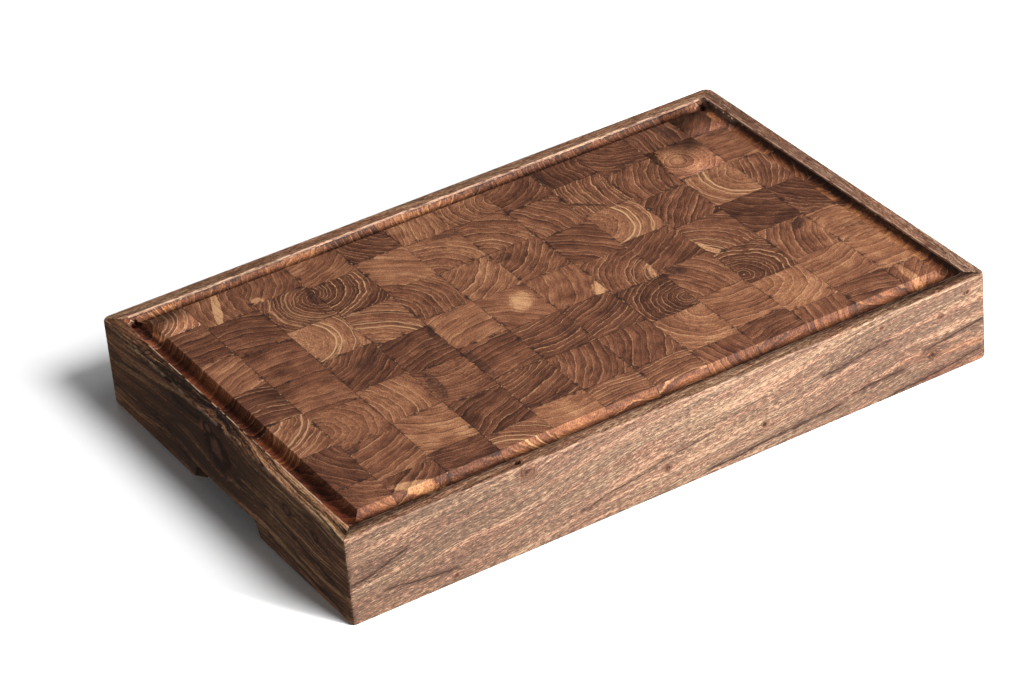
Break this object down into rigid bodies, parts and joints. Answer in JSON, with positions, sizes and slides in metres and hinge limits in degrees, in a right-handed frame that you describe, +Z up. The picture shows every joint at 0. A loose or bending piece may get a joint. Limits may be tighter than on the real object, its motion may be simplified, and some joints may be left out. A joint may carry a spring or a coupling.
{
  "type": "cutting board",
  "caption": "End-grain block cutting board in a mitred long-grain frame, with a juice groove round the top and a finger recess under each end.",
  "frame": {"origin": "middle of the underside, on the surface the board stands on", "axes": "+X along the board's length, +Y from the front rail to the back rail, +Z up out of the cutting surface"},
  "size_m": [0.45, 0.3, 0.06],
  "materials": {
    "rail_wood": "oiled, satin, long grain",
    "end_grain_wood": "oiled, satin, end grain",
    "spline_wood": "bare, glued in"
  },
  "bodies": {
    "root": {"front_rail": "rail_wood", "back_rail": "rail_wood", "left_rail": "rail_wood", "right_rail": "rail_wood", "end_grain_strip_01": "end_grain_wood", "end_grain_strip_02": "end_grain_wood", "end_grain_strip_03": "end_grain_wood", "end_grain_strip_04": "end_grain_wood", "end_grain_strip_05": "end_grain_wood", "end_grain_strip_06": "end_grain_wood", "end_grain_strip_07": "end_grain_wood", "end_grain_strip_08": "end_grain_wood", "end_grain_strip_09": "end_grain_wood", "end_grain_strip_10": "end_grain_wood", "end_grain_strip_11": "end_grain_wood", "end_grain_strip_12": "end_grain_wood", "mitre_spline_front_left": "spline_wood", "mitre_spline_front_right": "spline_wood", "mitre_spline_back_left": "spline_wood", "mitre_spline_back_right": "spline_wood"}
  },
  "joints": []
}
